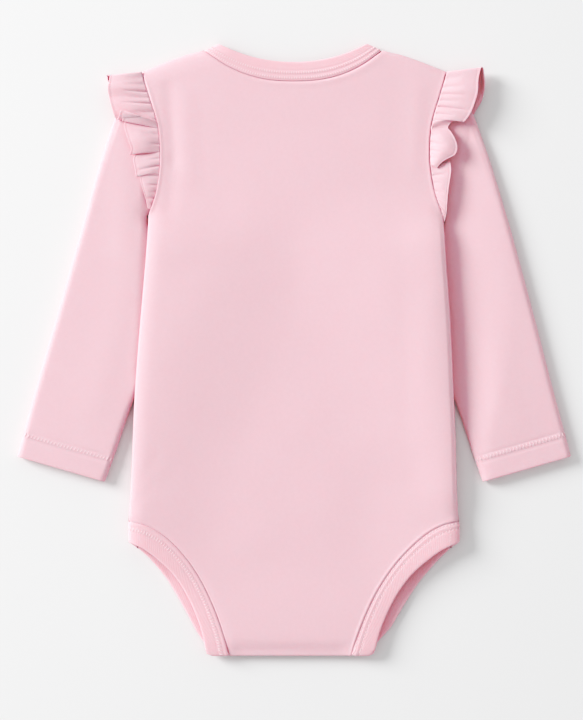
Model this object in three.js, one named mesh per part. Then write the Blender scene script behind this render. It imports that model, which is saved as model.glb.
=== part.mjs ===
// A long-sleeved baby onesie with a ruffle in each armhole seam. It lies flat and face down, so the
// back panel is on top. +Y runs from the crotch to the neck, +X to the right of someone looking down
// at it, and +Z up from the surface. Lengths are in millimetres. The origin is on the surface, under
// the middle of the garment.
import * as THREE from 'three';

// Thickness of each cloth, and the space left at a seam
const BODY_CLOTH = 1.5;
const SLEEVE_CLOTH = 1.4;
const BAND_CLOTH = 1.8;
const RUFFLE_CLOTH = 1.1;
const SEAM_GAP = 0.3;

// Outline of the body as laid flat. A half is measured from the garment's centre line.
const NECK_TOP = 214.4; // height of the two neck corners
const CROTCH_FOLD = -214.6; // the fold at the bottom
const SHOULDER_TIP = { half: 107, y: 194.5 };
const NECK_SEAM_HALF = 62.4; // where the neckband seam meets the shoulder
const NECK_SEAM_TOP = 209.8;
const NECK_EDGE_HALF = 52.2; // half the width of the neck opening
const UNDERARM = { half: 103.2, y: 94 };
const HIP = { half: 115.8, y: -134.6 };
const LEG_BAND_WIDTH = 14.5;
const FRONT_FLAP_END = -207; // bottom edge of the front panel
const TAIL_LENGTH = 30; // how far the back panel runs on under the crotch

// Where the centre line strays to the left, as the garment was laid
const CENTRE_SHIFT = { neck: -1.2, crotch: -3.3, neckFrom: 150, crotchFrom: -130 };

// Heights of the layers above the surface
const BODY_THICKNESS = 6.4; // both panels and the air between them, in the middle
const EDGE_PLUMP = 0.6; // how much thicker it is near its side folds
const PLUMP_REACH = 26; // how far in from a fold that extra thickness runs
const FOLD_RADIUS = 5.5; // how far in from the outline a fold rounds over
const SLEEVE_THICKNESS = 6.2;
const SLEEVE_PRESSED = 3.3; // where the body lies on it
const BODY_LIFT = 3.9; // how far the tucked sleeve holds the body up
const LIFT_SPREAD = 18; // how far the body takes to come down beside the sleeve
const CROTCH_LIFT = 1.3; // the front flap rests on its snap caps
const TAIL_LEVEL = 4.2; // mid height of the back panel's tail under the crotch fold
const CROTCH_TOP = 6.45; // mid height of the back panel at the crotch fold

// The side and the armhole, from the hip up to the shoulder
const SIDE = [
  { y: HIP.y, half: HIP.half },
  { y: -119.4, half: 115.4 },
  { y: -98.4, half: 114.2 },
  { y: -42.4, half: 112.1 },
  { y: 13.7, half: 108.9 },
  { y: 69.7, half: 104.6 },
  { y: UNDERARM.y, half: UNDERARM.half },
];
const ARMHOLE = [
  { y: UNDERARM.y, half: UNDERARM.half },
  { y: 106, half: 98.6 },
  { y: 124, half: 95.1 },
  { y: 140, half: 94.4 },
  { y: 158, half: 96 },
  { y: 179, half: 102.2 },
  { y: SHOULDER_TIP.y, half: SHOULDER_TIP.half },
];
const SHOULDER = [
  { half: NECK_EDGE_HALF, y: NECK_TOP },
  { half: NECK_SEAM_HALF, y: NECK_SEAM_TOP },
  { half: 75, y: 206.7 },
  { half: 88, y: 202.2 },
  { half: 98, y: 198.2 },
  { half: SHOULDER_TIP.half, y: SHOULDER_TIP.y },
];

// The leg openings, from the crotch fold up to the hip: the band's seam, and its free edge
const BACK_LEG_SEAM = [
  { half: 43, y: CROTCH_FOLD },
  { half: 45.9, y: -203 },
  { half: 53.7, y: -181.8 },
  { half: 63.3, y: -162.6 },
  { half: 75.4, y: -145.4 },
  { half: 91, y: -130 },
  { half: 104, y: -122.6 },
  { half: 115.6, y: -120 },
];
const BACK_LEG_EDGE = [
  { half: 58.8, y: CROTCH_FOLD },
  { half: 61.7, y: -200 },
  { half: 67.5, y: -184 },
  { half: 74.3, y: -170.5 },
  { half: 83, y: -157.9 },
  { half: 93.3, y: -148 },
  { half: 104, y: -140 },
  { half: 115.8, y: -134.6 },
];
const FRONT_LEG_EDGE = [
  { half: 62.5, y: FRONT_FLAP_END },
  { half: 73, y: -187.9 },
  { half: 81.8, y: -172.8 },
  { half: 89.2, y: -161.6 },
  { half: 98.7, y: -150 },
  { half: 107, y: -141.5 },
  { half: 115.8, y: -134.6 },
];
const FRONT_LEG_SEAM = [
  { half: 48, y: FRONT_FLAP_END },
  { half: 59.8, y: -181.5 },
  { half: 69.6, y: -164.6 },
  { half: 79, y: -151.4 },
  { half: 90, y: -138.6 },
  { half: 102, y: -127.6 },
  { half: 115.6, y: -120 },
];

// The neckline: depth at the centre and how round it is, for the seam and for the free edge
const BACK_NECK = { seamY: 187.8, seamRound: 2.45, edgeY: 201.4, edgeRound: 2.15 };
const FRONT_NECK = { seamY: 154, seamRound: 1.6, edgeY: 167.5, edgeRound: 1.6 };

// The sleeve's two folds, along the arm from the shoulder tip and across from its line. The inner
// fold starts at the underarm and is tucked under the body about two thirds of the way down.
const SLEEVE_AXIS = { x: 0.277, y: -0.961 };
const OUTER_FOLD = [
  { along: 0, across: 1 },
  { along: 9.8, across: 3.6 },
  { along: 19.7, across: 6.8 },
  { along: 31, across: 8.8 },
  { along: 46, across: 10.2 },
  { along: 68, across: 11.2 },
  { along: 116, across: 11.3 },
  { along: 180, across: 10.7 },
  { along: 242, across: 9.9 },
  { along: 283, across: 9.2 },
];
const INNER_FOLD = [
  { along: 96.2, across: -30.6 },
  { along: 101, across: -32.4 },
  { along: 106, across: -36.4 },
  { along: 111, across: -42.6 },
  { along: 116.5, across: -49.8 },
  { along: 123, across: -56 },
  { along: 133, across: -61 },
  { along: 150, across: -62.6 },
  { along: 178, across: -61.7 },
  { along: 206, across: -59.9 },
  { along: 236, across: -57.4 },
  { along: 265.4, across: -56.1 },
  { along: 266.6, across: -56.1 },
  { along: 283, across: -55.1 },
];
const HEM_FROM = 266; // the cuff's turned hem starts here
const HEM_EXTRA = 0.5; // how much thicker the turned hem is

// The ruffle, a row for each turn of its hem, from the back underarm over the shoulder to the front
// underarm. seam: distance of its root from the shoulder along the seam, out: how far the hem stands
// off the seam, sag: how far it leans towards the underarm, high: mid height of the hem.
const RUFFLE_BACK = [
  { seam: 103, out: 2.2, sag: 0, high: 6.6 },
  { seam: 96, out: 5.5, sag: 3, high: 8.8 },
  { seam: 89, out: 8.5, sag: 2, high: 7.4 },
  { seam: 82, out: 12.5, sag: 4, high: 9.8 },
  { seam: 75, out: 14.5, sag: 1, high: 7.5 },
  { seam: 68, out: 18.5, sag: 5, high: 10.8 },
  { seam: 60, out: 18.5, sag: -1, high: 7.6 },
  { seam: 52, out: 20.5, sag: 6, high: 10.6 },
  { seam: 43, out: 23.5, sag: 1, high: 12.6 },
  { seam: 35, out: 22.5, sag: -3, high: 7.8 },
  { seam: 27, out: 26, sag: 5, high: 11.8 },
  { seam: 17, out: 26.5, sag: 2, high: 14.2 },
  { seam: 9, out: 26, sag: -1, high: 11.6 },
];
const RUFFLE_FRONT = [
  { seam: 9, out: 27.5, sag: 1, high: 0.7 },
  { seam: 20, out: 28, sag: 1, high: 1.9 },
  { seam: 32, out: 24, sag: 1, high: 0.6 },
  { seam: 44, out: 22, sag: 2, high: 1.9 },
  { seam: 55, out: 18, sag: 1, high: 0.6 },
  { seam: 66, out: 13.5, sag: 2, high: 1.6 },
  { seam: 76, out: 8, sag: 1, high: 0.6 },
  { seam: 85, out: 2.5, sag: 1, high: 0.7 },
];
const RUFFLE_TOP = { out: 25.5, sag: 0, low: 2.2, high: 9.8 }; // where it turns over the shoulder
const RUFFLE_ROOT = { back: 6.1, front: 0.75 }; // mid heights of its two roots
const RUFFLE_SPACE = 2.9; // the sleeve is held this far up over the front ruffle

// Snaps that close the crotch
const SNAP = { radius: 4.8, thickness: 1, rim: 0.9, dish: 0.35, spacing: 27, y: -197, count: 3 };

const SIDES = [
  { name: 'left', sign: -1, frontShow: 0.86 },
  { name: 'right', sign: 1, frontShow: 1.14 },
];

const clamp01 = (t) => Math.min(1, Math.max(0, t));
const smooth = (t) => clamp01(t) ** 2 * (3 - 2 * clamp01(t));
const mix = (a, b, t) => a + (b - a) * t;

// A smooth curve through the rows of a table, evaluated by its length from 0 to 1.
function curveOf(rows) {
  const points = rows.map((row) => new THREE.Vector3(row.half, row.y, 0));
  return new THREE.CatmullRomCurve3(points, false, 'centripetal');
}

// The point of a curve whose given coordinate has this value; the coordinate has to rise along it.
function pointWhere(curve, axis, value) {
  let low = 0;
  let high = 1;
  for (let step = 0; step < 30; step += 1) {
    const middle = (low + high) / 2;
    if (curve.getPointAt(middle)[axis] < value) low = middle;
    else high = middle;
  }
  return curve.getPointAt((low + high) / 2);
}

const sideCurve = curveOf(SIDE);
const armholeCurve = curveOf(ARMHOLE);
const shoulderCurve = curveOf(SHOULDER);
const armholeLength = armholeCurve.getLength();

// Distance from a point to a curve, taken on a chain of short chords.
function distanceTo(chain, half, y) {
  let nearest = Infinity;
  for (let i = 1; i < chain.length; i += 1) {
    const [a, b] = [chain[i - 1], chain[i]];
    const along = new THREE.Vector2(b.x - a.x, b.y - a.y);
    const from = new THREE.Vector2(half - a.x, y - a.y);
    const t = clamp01(from.dot(along) / along.lengthSq());
    nearest = Math.min(nearest, from.sub(along.multiplyScalar(t)).length());
  }
  return nearest;
}
const sideChain = sideCurve.getSpacedPoints(40);
const shoulderChain = shoulderCurve.getSpacedPoints(30);
const foldDistance = (half, y) =>
  Math.min(distanceTo(sideChain, half, y), distanceTo(shoulderChain, half, y));

// Half the body's width at a height between hip and underarm.
const sideHalf = (y) => pointWhere(sideCurve, 'y', Math.min(Math.max(y, HIP.y), UNDERARM.y)).x;

// A place beside the arm's line, and the same the other way round.
const sleevePlace = (along, across) => ({
  half: SHOULDER_TIP.half + SLEEVE_AXIS.x * along - SLEEVE_AXIS.y * across,
  y: SHOULDER_TIP.y + SLEEVE_AXIS.y * along + SLEEVE_AXIS.x * across,
});
function besideArm({ half, y }) {
  const [dx, dy] = [half - SHOULDER_TIP.half, y - SHOULDER_TIP.y];
  return {
    along: dx * SLEEVE_AXIS.x + dy * SLEEVE_AXIS.y,
    across: dy * SLEEVE_AXIS.x - dx * SLEEVE_AXIS.y,
  };
}

// Half width at which the tucked fold of the sleeve lies, for the body that lies on it.
const tuckedRows = INNER_FOLD.map(({ along, across }) => sleevePlace(along, across)).reverse();
const tuckedCurve = curveOf(tuckedRows);
const tuckedHalf = (y) => pointWhere(tuckedCurve, 'y', y).x;

// How far the tucked sleeve lifts the body at a point.
function bodyLift(half, y) {
  const beside = smooth((half - (tuckedHalf(Math.min(y, 60)) - 5 - LIFT_SPREAD)) / LIFT_SPREAD);
  const below = smooth((108 - y) / 22);
  return BODY_LIFT * beside * below;
}

// How round a fold is: 0 at the outline and 1 where the cloth has turned flat.
function foldRise(distance, cloth) {
  const t = clamp01((distance - cloth / 2) / (FOLD_RADIUS - cloth / 2));
  return Math.sqrt(1 - (1 - t) ** 2);
}

// Mid height of the back panel and of the front panel at a point of the outline.
function bodyLevels(half, y, cloth = BODY_CLOTH) {
  const distance = foldDistance(half, y);
  const lift = bodyLift(half, y);
  const plump = EDGE_PLUMP * smooth(1 - distance / PLUMP_REACH);
  const nearCrotch = smooth((-150 - y) / 40);
  const bottom = Math.max(lift, CROTCH_LIFT * nearCrotch) + cloth / 2;
  const flatTop = lift + BODY_THICKNESS + plump - BODY_CLOTH / 2;
  const top = mix(flatTop, CROTCH_TOP, nearCrotch);
  const middle = (top + bottom) / 2;
  const rise = foldRise(distance, cloth);
  const apart = SEAM_GAP / 2;
  return {
    middle,
    back: middle + apart + (top - middle - apart) * rise,
    front: middle - apart - (middle - apart - bottom) * rise,
  };
}

function centreShift(y) {
  const { neck, crotch, neckFrom, crotchFrom } = CENTRE_SHIFT;
  const atNeck = neck * smooth((y - neckFrom) / (NECK_TOP - neckFrom));
  const atCrotch = crotch * smooth((crotchFrom - y) / (crotchFrom - CROTCH_FOLD));
  return atNeck + atCrotch;
}

// A point of the garment, from a half measured to one side.
const placed = (sign, half, y, z) => new THREE.Vector3(sign * half + centreShift(y), y, z);

// Turns the normal at a rim so that the cut edge faces straight out of the cloth, level where the
// cloth lies level and down or up where it stands upright. inward points from the rim into the cloth.
function squareRim(normal, inward) {
  const level = inward.clone().setZ(0).normalize();
  if (Math.abs(inward.z) > 0.6 * inward.length()) normal.setZ(0);
  else normal.addScaledVector(level, -normal.dot(level));
  normal.normalize();
}

// A closed wall of even thickness round a grid of mid points, points[row][column]. From the row
// joinedFrom on, the last column is the first one again, so the wall is a tube there.
function wallOf(points, cloth, { joinedFrom = Infinity, limit = (point) => point } = {}) {
  const rows = points.length;
  const columns = points[0].length;
  const thicknessAt = typeof cloth === 'function' ? cloth : () => cloth;
  const vertices = [];
  for (let r = 0; r < rows; r += 1) {
    for (let c = 0; c < columns; c += 1) {
      const joined = r >= joinedFrom;
      const point = points[r][c];
      const before = points[Math.max(r - 1, 0)][c];
      const after = points[Math.min(r + 1, rows - 1)][c];
      const left = c > 0 ? points[r][c - 1] : points[r][joined ? columns - 2 : 0];
      const right = c < columns - 1 ? points[r][c + 1] : points[r][joined ? 1 : c];
      const across = new THREE.Vector3().subVectors(right, left);
      const normal = new THREE.Vector3().subVectors(after, before).cross(across).normalize();
      if (r === 0) squareRim(normal, after.clone().sub(point));
      if (r === rows - 1) squareRim(normal, before.clone().sub(point));
      if (!joined && c === 0) squareRim(normal, right.clone().sub(point));
      if (!joined && c === columns - 1) squareRim(normal, left.clone().sub(point));
      const reach = normal.multiplyScalar(thicknessAt(r, c) / 2);
      vertices.push(limit(point.clone().add(reach)), limit(point.clone().sub(reach)));
    }
  }
  const outer = (r, c) => 2 * (r * columns + (r >= joinedFrom && c === columns - 1 ? 0 : c));
  const inner = (r, c) => outer(r, c) + 1;
  const faces = [];
  const quad = (a, b, c, d) => faces.push([a, b, c], [a, c, d]);
  for (let r = 0; r < rows - 1; r += 1) {
    for (let c = 0; c < columns - 1; c += 1) {
      quad(outer(r, c), outer(r, c + 1), outer(r + 1, c + 1), outer(r + 1, c));
      quad(inner(r, c), inner(r + 1, c), inner(r + 1, c + 1), inner(r, c + 1));
    }
  }
  for (let c = 0; c < columns - 1; c += 1) {
    const last = rows - 1;
    quad(outer(0, c), inner(0, c), inner(0, c + 1), outer(0, c + 1));
    quad(outer(last, c), outer(last, c + 1), inner(last, c + 1), inner(last, c));
  }
  for (let r = 0; r < Math.min(rows - 1, joinedFrom); r += 1) {
    const last = columns - 1;
    quad(outer(r, 0), outer(r + 1, 0), inner(r + 1, 0), inner(r, 0));
    quad(outer(r, last), inner(r, last), inner(r + 1, last), outer(r + 1, last));
  }
  return solidOf(vertices, faces);
}

// A geometry of these faces, turned so that they point outwards.
function solidOf(vertices, faces) {
  let volume = 0;
  for (const [a, b, c] of faces) {
    volume += vertices[a].dot(new THREE.Vector3().crossVectors(vertices[b], vertices[c]));
  }
  const index = faces.flatMap(([a, b, c]) => (volume < 0 ? [a, c, b] : [a, b, c]));
  const geometry = new THREE.BufferGeometry();
  geometry.setAttribute(
    'position',
    new THREE.Float32BufferAttribute(vertices.flatMap((v) => [v.x, v.y, v.z]), 3),
  );
  geometry.setIndex(index);
  geometry.computeVertexNormals();
  return geometry;
}

const PINK = 0xf5d0d8;
const clothMaterial = (color) => new THREE.MeshStandardMaterial({ color, roughness: 0.9, metalness: 0 });
const garment = new THREE.Group();
function addPiece(name, geometry, material) {
  const piece = new THREE.Mesh(geometry, material);
  piece.name = name;
  garment.add(piece);
}

// Panels. Their columns crowd towards the outline, where the cloth rounds over.
const FOLD_STEPS = [BODY_CLOTH / 2, 1.35, 2.9, FOLD_RADIUS]; // distances in from a folded edge
const SHOULDER_STEPS = [BODY_CLOTH / 2, 2.1, FOLD_RADIUS]; // the same, in from the shoulder fold
const SEAM_STEPS = [0, 1.35, 2.9, FOLD_RADIUS]; // distances in from a seamed edge
const NECK_SHARES = [1, 0.9, 0.76, 0.58, 0.38, 0.19, 0]; // of the neck seam's half width
const NECK_COLUMN = (NECK_SEAM_HALF + SEAM_GAP) / (SHOULDER_TIP.half - FOLD_RADIUS);
const INNER_COLUMNS = [0.86, 0.73, ...NECK_SHARES.map((share) => share * NECK_COLUMN)];
const LEG_SHARES = [0, 0.14, 0.28, 0.42, 0.56, 0.7, 0.83, 0.91, 0.96]; // along the leg seam
const ARMHOLE_SHARES = [0.96, 0.89, 0.8, 0.71, 0.62, 0.53, 0.44, 0.35, 0.26, 0.17, 0.1]; // from the top
const COLUMN_SIDES = [-1, 1];

// Heights of the neck and shoulder line over the width of the body.
function topLine(neck, half) {
  if (half > NECK_SEAM_HALF) return pointWhere(shoulderCurve, 'x', half).y;
  const rise = NECK_SEAM_TOP - neck.seamY;
  return neck.seamY + rise * (half / NECK_SEAM_HALF) ** neck.seamRound;
}

// A panel's edge at a share of a seam, short of it by half the seam's gap.
function seamEdge(seam, share) {
  const tangent = seam.getTangentAt(share);
  const inward = new THREE.Vector3(-tangent.y, tangent.x, 0);
  return seam.getPointAt(share).addScaledVector(inward, SEAM_GAP / 2);
}

// The right half of a panel's outline, from the crotch up, one row of the panel for each.
function outlineRows(legSeam, bottomY) {
  const legCurve = curveOf(legSeam);
  const rows = LEG_SHARES.map((share) => (
    { edge: seamEdge(legCurve, share), centreY: mix(bottomY, -112, share), steps: SEAM_STEPS, top: 0 }
  ));
  const hip = legCurve.getPointAt(1);
  hip.y += 1.6 * SEAM_GAP;
  rows.push({ edge: hip, centreY: -108, steps: FOLD_STEPS, top: 0 });
  for (const y of [-96, -50, -4, 36, 64, 82, 93]) {
    const edge = pointWhere(sideCurve, 'y', y);
    rows.push({ edge, centreY: Math.min(y, 70), steps: FOLD_STEPS, top: 0 });
  }
  for (const share of ARMHOLE_SHARES) {
    const edge = seamEdge(armholeCurve, 1 - share);
    rows.push({ edge, centreY: null, steps: SEAM_STEPS, top: 1 - share });
  }
  for (const step of [...SHOULDER_STEPS].reverse()) {
    const edge = pointWhere(armholeCurve, 'y', SHOULDER_TIP.y - step);
    edge.x -= SEAM_GAP / 2;
    rows.push({ edge, centreY: null, steps: SEAM_STEPS, top: 1, below: step });
  }
  return rows;
}

// The y of a panel's row at a distance from the centre line.
function rowHeight(row, half, neck) {
  const share = half / row.edge.x;
  if (row.top === 0) return mix(row.centreY, row.edge.y, share ** 3);
  const inFold = half > NECK_SEAM_HALF - 0.01;
  const below = row.below ?? FOLD_RADIUS;
  const top = topLine(neck, half) - (below === BODY_CLOTH / 2 && !inFold ? SEAM_GAP : below);
  if (row.top === 1) return top;
  const inside = mix(mix(76, neck.seamY - 12, row.top), top, row.top ** 1.6);
  return mix(inside, row.edge.y, share ** 3);
}

// One row of a panel's mid points, from the left edge to the right one.
function panelRow(row, neck, face) {
  const side = (sign) => {
    const edges = row.steps.map((step) => row.edge.x - step);
    const width = mix(row.edge.x, SHOULDER_TIP.half, row.top) - FOLD_RADIUS;
    const inside = INNER_COLUMNS.map((share) => share * width);
    return [...edges, ...inside].map((half) => {
      const y = rowHeight(row, half, neck);
      return placed(sign, half, y, bodyLevels(half, y)[face]);
    });
  };
  const [left, right] = COLUMN_SIDES.map(side);
  return [...left, ...right.reverse().slice(1)];
}

// Where cloth that runs on over the crotch fold comes to lie, by its distance past the fold's start.
const CROTCH_RADIUS = (CROTCH_TOP - TAIL_LEVEL) / 2;
const FOLD_START = CROTCH_FOLD + BODY_CLOTH / 2 + CROTCH_RADIUS;
function pastCrotch(distance) {
  const arc = Math.PI * CROTCH_RADIUS;
  const turn = Math.min(distance, arc) / CROTCH_RADIUS;
  return {
    y: FOLD_START - CROTCH_RADIUS * Math.sin(turn) + Math.max(0, distance - arc),
    z: TAIL_LEVEL + CROTCH_RADIUS * (1 + Math.cos(turn)),
  };
}
const WRAP_DISTANCES = [0.25, 0.5, 0.75, 1].map((share) => share * Math.PI * CROTCH_RADIUS);
const TAIL_DISTANCES = [...WRAP_DISTANCES, Math.PI * CROTCH_RADIUS + TAIL_LENGTH / 2,
  Math.PI * CROTCH_RADIUS + TAIL_LENGTH];

// Keeps cloth on its own side of the height where back and front meet.
function keptApart(face) {
  return (point) => {
    if (point.y < -150) return point;
    const { middle } = bodyLevels(Math.abs(point.x - centreShift(point.y)), point.y);
    if (face === 'back') point.setZ(Math.max(point.z, middle + SEAM_GAP / 2));
    else point.setZ(Math.min(point.z, middle - SEAM_GAP / 2));
    return point;
  };
}

function backPanel() {
  const rows = outlineRows(BACK_LEG_SEAM, CROTCH_FOLD);
  rows[0].edge.y = FOLD_START;
  rows[0].centreY = FOLD_START;
  const flat = rows.map((row) => panelRow(row, BACK_NECK, 'back'));
  const bottom = flat[0];
  const wrapped = TAIL_DISTANCES.map((distance) => {
    const { y, z } = pastCrotch(distance);
    return bottom.map((point) => new THREE.Vector3(point.x, y, z));
  });
  return wallOf([...wrapped.reverse(), ...flat], BODY_CLOTH, { limit: keptApart('back') });
}

function frontPanel() {
  const rows = outlineRows(FRONT_LEG_SEAM, FRONT_FLAP_END);
  const points = rows.map((row) => panelRow(row, FRONT_NECK, 'front'));
  return wallOf(points, BODY_CLOTH, { limit: keptApart('front') });
}

// The neckband is one strip all round the neck: over the back, round the right shoulder fold,
// over the front, and round the left one.
const BAND_FOLD_STEPS = [BAND_CLOTH / 2, 1.6, 3.2, FOLD_RADIUS];
function neckband() {
  const ACROSS = [0, 0.5, 1];
  const [tip, ...folded] = BAND_FOLD_STEPS.map((step) => 1 - step / NECK_SEAM_HALF);
  const right = [...folded, ...NECK_SHARES.slice(1, -1)];
  const shares = [...right.map((share) => -share), 0, ...right.reverse()];
  const section = (neck, face, share) => {
    const size = Math.abs(share);
    const sign = Math.sign(share) || 1;
    const edge = {
      half: size * NECK_EDGE_HALF,
      y: neck.edgeY + (NECK_TOP - neck.edgeY) * size ** neck.edgeRound,
    };
    const seam = {
      half: size * NECK_SEAM_HALF,
      y: neck.seamY + (NECK_SEAM_TOP - neck.seamY) * size ** neck.seamRound,
    };
    const inset = SEAM_GAP / 2 / (NECK_SEAM_HALF - NECK_EDGE_HALF);
    return ACROSS.map((t) => {
      const across = t * (1 - inset);
      const half = mix(edge.half, seam.half, across);
      const y = mix(edge.y, seam.y, across);
      return placed(sign, half, y, bodyLevels(half, y, BAND_CLOTH)[face]);
    });
  };
  const back = shares.map((share) => section(BACK_NECK, 'back', share));
  const front = shares.map((share) => section(FRONT_NECK, 'front', share)).reverse();
  const [leftTip, rightTip] = [-tip, tip].map((share) => section(BACK_NECK, 'middle', share));
  const loop = [leftTip, ...back, rightTip, ...front, leftTip];
  const columns = ACROSS.map((_, i) => loop.map((points) => points[i]));
  return wallOf(columns, BAND_CLOTH, { joinedFrom: 0 });
}

// A leg band runs from the tail's end, round the crotch fold, up the back of the leg, round the
// side fold at the hip and down the front of the leg to the end of the front flap.
function legBand({ sign, frontShow }) {
  const ACROSS = [0, 0.5, 1];
  const backSeam = curveOf(BACK_LEG_SEAM);
  const backEdge = curveOf(BACK_LEG_EDGE);
  const frontSeam = curveOf(FRONT_LEG_SEAM);
  const frontEdge = curveOf(FRONT_LEG_EDGE);
  const shown = (point) => {
    const beyond = Math.min(1, (HIP.half - point.x) / 20) * (frontShow - 1) * 8.6;
    return { x: point.x + beyond * smooth((point.y - FRONT_FLAP_END) / 15), y: point.y };
  };
  const strip = (seam, edge, face) => {
    const away = new THREE.Vector2(edge.x - seam.x, edge.y - seam.y);
    const inset = SEAM_GAP / 2 / away.length();
    return ACROSS.map((t) => {
      const across = mix(inset, 1, t);
      const half = seam.x + away.x * across;
      const y = seam.y + away.y * across;
      return placed(sign, half, y, bodyLevels(half, y, BAND_CLOTH)[face]);
    });
  };
  const atHip = (seam, edge, step) => [
    pointWhere(seam, 'x', HIP.half - step),
    pointWhere(edge, 'x', HIP.half - step),
  ];
  const legShares = LEG_SHARES.filter((share) => share < 0.9);
  const back = legShares.map((share) => {
    const [seam, edge] = [backSeam.getPointAt(share), backEdge.getPointAt(share)];
    if (share === 0) {
      seam.y = FOLD_START;
      edge.y = FOLD_START;
    }
    return strip(seam, edge, 'back');
  });
  const [tip, ...folded] = BAND_FOLD_STEPS;
  const hipFront = folded.map((step) => strip(...atHip(frontSeam, frontEdge, step), 'front'));
  const hipBack = folded.reverse().map((step) => strip(...atHip(backSeam, backEdge, step), 'back'));
  const hipTip = strip(...atHip(backSeam, backEdge, tip), 'middle');
  const front = legShares.reverse().map((share) => {
    const [seam, edge] = [frontSeam.getPointAt(share), shown(frontEdge.getPointAt(share))];
    return strip(seam, edge, 'front');
  });
  const bottom = back[0];
  const wrapped = TAIL_DISTANCES.map((distance) => {
    const { y, z } = pastCrotch(distance);
    return bottom.map((point) => new THREE.Vector3(point.x, y, z));
  });
  const hip = [...hipBack, hipTip, ...hipFront];
  return wallOf([...wrapped.reverse(), ...back, ...hip, ...front], BAND_CLOTH);
}

// Sleeves are tubes pressed flat. Their rows run straight across the arm, from the armhole seam, and
// lower down from the inner fold, to the outer fold, and back again underneath.
const SLEEVE_FOLD = 4.5; // how far in from its fold a full sleeve rounds over
const SLEEVE_TURNS = [0, 0.5, 1]; // how far round the fold, of a quarter turn
const SLEEVE_SHARES = [0.28, 0.5, 0.72]; // across a sleeve, between its two folds
const SEAM_IN = [0, 2.2, 4.5]; // columns beside the armhole seam, in from it

// The sleeve's edge at a share of the armhole from the top.
function armholeAt(share) {
  const point = armholeCurve.getPointAt(1 - share);
  const tangent = armholeCurve.getTangentAt(1 - share);
  return {
    half: point.x + (tangent.y * SEAM_GAP) / 2,
    y: point.y - (tangent.x * SEAM_GAP) / 2,
  };
}

// The width of the ruffle beside the seam, by share of the armhole from the shoulder down.
const ruffleWidth = (share) => 27 * clamp01((1.02 - share) / 0.75) ** 0.7;

// Heights of the sleeve's outer faces, underneath and on top.
const armholeChain = armholeCurve.getSpacedPoints(40);
function sleeveFaces({ half, y }) {
  const fromTop = (SHOULDER_TIP.y - y) / (SHOULDER_TIP.y - UNDERARM.y);
  const fromSeam = distanceTo(armholeChain, half, y);
  const overRuffle = RUFFLE_SPACE * smooth((ruffleWidth(fromTop) + 13 - fromSeam) / 12);
  const atSeam = mix(0.55, 1, smooth(fromSeam / 9));
  const bottom = overRuffle * atSeam * smooth((0.99 - fromTop) / 0.13);
  const outside = half - sideHalf(y);
  const pressed = smooth((17 - outside) / 15) * smooth((112 - y) / 26);
  const open = Math.max(bottom + SLEEVE_PRESSED, SLEEVE_THICKNESS);
  const seamTop = mix(5.2, open, smooth(fromSeam / 13));
  return { bottom, top: mix(seamTop, SLEEVE_PRESSED, pressed) };
}

function sleeve({ sign }) {
  const outerCurve = curveOf(OUTER_FOLD.map(({ along, across }) => ({ half: along, y: across })));
  const rows = [
    ...[...ARMHOLE_SHARES].reverse().map((share) => ({ ...besideArm(armholeAt(share)), open: true })),
    ...INNER_FOLD,
  ];
  rows.unshift({ ...besideArm(armholeAt(0.05)), open: true });
  const cloth = (r) => SLEEVE_CLOTH + (rows[r].along > HEM_FROM ? HEM_EXTRA : 0);
  const points = rows.map(({ along, across, open }, r) => {
    const outer = pointWhere(outerCurve, 'x', along).y;
    const [above, below] = [rows[Math.max(r - 1, 0)], rows[Math.min(r + 1, rows.length - 1)]];
    const slope = open ? 0 : (below.across - above.across) / (below.along - above.along);
    const atFold = (turn, end, sense) => {
      const { bottom, top } = sleeveFaces(sleevePlace(along, end));
      const reach = (top - bottom - cloth(r)) / 2;
      const depth = Math.min(SLEEVE_FOLD - cloth(r) / 2, (reach * reach) / (0.6 * cloth(r)));
      const step = cloth(r) / 2 + depth * (1 - Math.cos((turn * Math.PI) / 2));
      return { turn, at: end + sense * step * (sense > 0 ? Math.hypot(1, slope) : 1) };
    };
    const narrow = Math.min(1, (outer - across) / 20);
    const inner = open
      ? SEAM_IN.map((step) => ({ turn: 1, at: across + step * narrow }))
      : SLEEVE_TURNS.map((turn) => atFold(turn, across, 1));
    const outside = [...SLEEVE_TURNS].reverse().map((turn) => atFold(turn, outer, -1));
    const [from, to] = [inner[inner.length - 1].at, outside[0].at];
    const middle = SLEEVE_SHARES.map((share) => ({ turn: 1, at: mix(from, to, share) }));
    const layer = (face) => [...inner, ...middle, ...outside].map(({ turn, at }) => {
      const place = sleevePlace(along, at);
      const { bottom, top } = sleeveFaces(place);
      const reach = ((top - bottom - cloth(r)) / 2) * Math.sin((turn * Math.PI) / 2);
      const z = (bottom + top) / 2 + (face === 'top' ? reach : -reach);
      return placed(sign, place.half, place.y, z);
    });
    return [...layer('top'), ...layer('bottom').reverse().slice(1)];
  });
  return wallOf(points, cloth, { joinedFrom: ARMHOLE_SHARES.length + 1 });
}

// The ruffle is a strip gathered into the armhole seam, in plan standing straight out from it.
function seamFrame(distance) {
  const u = 1 - clamp01(distance / armholeLength);
  const point = armholeCurve.getPointAt(u);
  const tangent = armholeCurve.getTangentAt(u);
  return { point, out: { x: tangent.y, y: -tangent.x }, down: { x: -tangent.x, y: -tangent.y } };
}

// Root and hem of the ruffle at one row of its table.
function ruffleStation(row, rootHigh) {
  const { point, down } = seamFrame(row.seam);
  const turn = smooth((row.seam - 20) / 60);
  const out = { x: mix(0.998, 0.97, turn), y: mix(-0.05, -0.24, turn) };
  const gap = SEAM_GAP / 2;
  return {
    root: new THREE.Vector3(point.x + gap, point.y, rootHigh),
    hem: new THREE.Vector3(
      point.x + gap + out.x * row.out + down.x * row.sag,
      point.y + out.y * row.out + down.y * row.sag,
      row.high,
    ),
  };
}

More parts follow.
